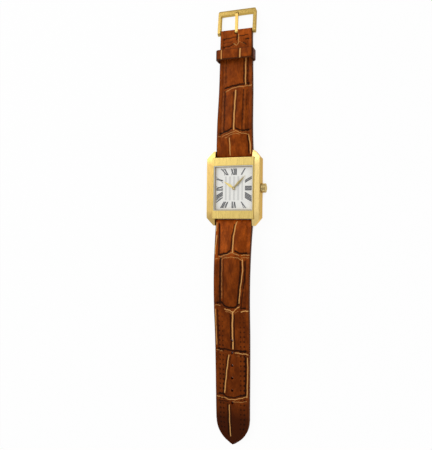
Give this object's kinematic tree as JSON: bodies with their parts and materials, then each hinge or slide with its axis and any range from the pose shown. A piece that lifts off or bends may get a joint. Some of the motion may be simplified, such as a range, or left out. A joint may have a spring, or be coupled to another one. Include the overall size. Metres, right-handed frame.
{
  "type": "wristwatch",
  "caption": "Rectangular gold-coloured dress wristwatch with raised bezel, Roman dial, two hands, fluted crown, padded embossed leather strap, keeper and pin buckle, laid out flat.",
  "frame": {"origin": "middle of the flat case back, on the surface the watch lies on", "axes": "+X towards the crown at three o'clock, +Y towards twelve o'clock and the buckle, +Z out of the dial"},
  "size_m": [0.0285, 0.2054, 0.0084],
  "materials": {
    "gold_case": "satin gold plating, brushed lengthwise",
    "gold_polished": "polished gold plating",
    "steel_back": "satin",
    "steel_small": "turned",
    "sapphire": "clear",
    "gasket_rubber": "matte",
    "ring_plastic": "moulded",
    "dial_silver": "silvered, semi-matte",
    "plate_brass": "machined",
    "wheel_brass": "machined",
    "wheel_plastic": "moulded",
    "cell_steel": "smooth",
    "board_green": "solder mask",
    "coil_copper": "enamelled copper wire",
    "core_steel": "soft magnetic steel",
    "leather_tan": "embossed with large square scales, semi-gloss",
    "leather_lining": "smooth, matte"
  },
  "bodies": {
    "case": {"case_middle": "gold_case", "bezel": "gold_case", "crystal": "sapphire", "crystal_gasket": "ring_plastic", "case_back": "steel_back", "case_back_gasket": "gasket_rubber", "case_back_screws": "steel_small", "crown_tube": "steel_small", "casing_ring": "ring_plastic", "dial": "dial_silver", "main_plate": "plate_brass", "train_bridge": "plate_brass", "battery": "cell_steel", "battery_clip": "steel_small", "circuit_board": "board_green", "resonator": "cell_steel", "drive_coil": "coil_copper", "stator": "core_steel", "movement_screws": "steel_small", "upper_spring_bar": "steel_small", "lower_spring_bar": "steel_small"},
    "centre": {"centre_wheel": "wheel_brass", "minute_hand": "gold_polished"},
    "hour": {"hour_wheel": "wheel_brass", "hour_hand": "gold_polished"},
    "minute": {"minute_wheel": "wheel_brass"},
    "third": {"third_wheel": "wheel_brass"},
    "first": {"first_wheel": "wheel_plastic"},
    "motor": {"rotor": "wheel_plastic"},
    "clutch": {"clutch_pinion": "steel_small"},
    "crown_stem": {"winding_stem": "steel_small", "crown": "gold_polished", "crown_gasket": "gasket_rubber"},
    "lever": {"setting_lever": "steel_small"},
    "long_half": {"strap_long": "leather_tan", "strap_long_lining": "leather_lining"},
    "short_half": {"strap_short": "leather_tan", "strap_short_lining": "leather_lining", "buckle_spring_bar": "steel_small"},
    "keeper_loop": {"keeper": "leather_tan"},
    "buckle": {"buckle_frame": "gold_polished"},
    "tongue": {"buckle_tongue": "gold_polished"}
  },
  "joints": [
    {"name": "centre_turn", "type": "hinge", "parent": "case", "child": "centre", "pos_m": [0, 0, 0.0035], "axis": [0, 0, -1], "continuous": true},
    {"name": "third_turn", "type": "hinge", "parent": "case", "child": "third", "pos_m": [-0.0012, 0.00208, 0.00235], "axis": [0, 0, -1], "continuous": true},
    {"name": "first_turn", "type": "hinge", "parent": "case", "child": "first", "pos_m": [-0.0002, 0.00381, 0.00235], "axis": [0, 0, -1], "continuous": true},
    {"name": "motor_turn", "type": "hinge", "parent": "case", "child": "motor", "pos_m": [0.00083, 0.00504, 0.00235], "axis": [0, 0, -1], "continuous": true},
    {"name": "minute_turn", "type": "hinge", "parent": "case", "child": "minute", "pos_m": [0.00197, -0.00138, 0.0036], "axis": [0, 0, -1], "continuous": true},
    {"name": "hour_turn", "type": "hinge", "parent": "case", "child": "hour", "pos_m": [0, 0, 0.0042], "axis": [0, 0, -1], "continuous": true},
    {"name": "crown_spin", "type": "hinge", "parent": "case", "child": "clutch", "pos_m": [0.0049, 0, 0.0032], "axis": [1, 0, 0], "continuous": true},
    {"name": "crown_pull", "type": "slide", "parent": "clutch", "child": "crown_stem", "axis": [1, 0, 0], "range_m": [0, 0.0009]},
    {"name": "lever_swing", "type": "hinge", "parent": "case", "child": "lever", "pos_m": [0.00675, -0.00264, 0.00255], "axis": [0, 0, 1], "range_deg": [-24, 1]},
    {"name": "long_half_swing", "type": "hinge", "parent": "case", "child": "long_half", "pos_m": [0, -0.0159, 0.0029], "axis": [1, 0, 0], "range_deg": [-45, 90]},
    {"name": "short_half_swing", "type": "hinge", "parent": "case", "child": "short_half", "pos_m": [0, 0.0159, 0.0029], "axis": [-1, 0, 0], "range_deg": [-45, 90]},
    {"name": "keeper_slide", "type": "slide", "parent": "short_half", "child": "keeper_loop", "axis": [0, -1, 0], "range_m": [-0.003, 0.012]},
    {"name": "buckle_swing", "type": "hinge", "parent": "short_half", "child": "buckle", "pos_m": [0, 0.0741, 0.00215], "axis": [1, 0, 0], "range_deg": [-45, 60]},
    {"name": "tongue_swing", "type": "hinge", "parent": "buckle", "child": "tongue", "pos_m": [0, 0.0741, 0.00215], "axis": [1, 0, 0], "range_deg": [0, 65]}
  ],
  "couplings": [
    {"joint": "third_turn", "follows": "centre_turn", "ratio": -5},
    {"joint": "first_turn", "follows": "centre_turn", "ratio": 20},
    {"joint": "motor_turn", "follows": "centre_turn", "ratio": -60},
    {"joint": "minute_turn", "follows": "centre_turn", "ratio": -0.33333},
    {"joint": "hour_turn", "follows": "centre_turn", "ratio": 0.083333},
    {"joint": "lever_swing", "follows": "crown_pull", "rad_per_m": -444.4}
  ]
}
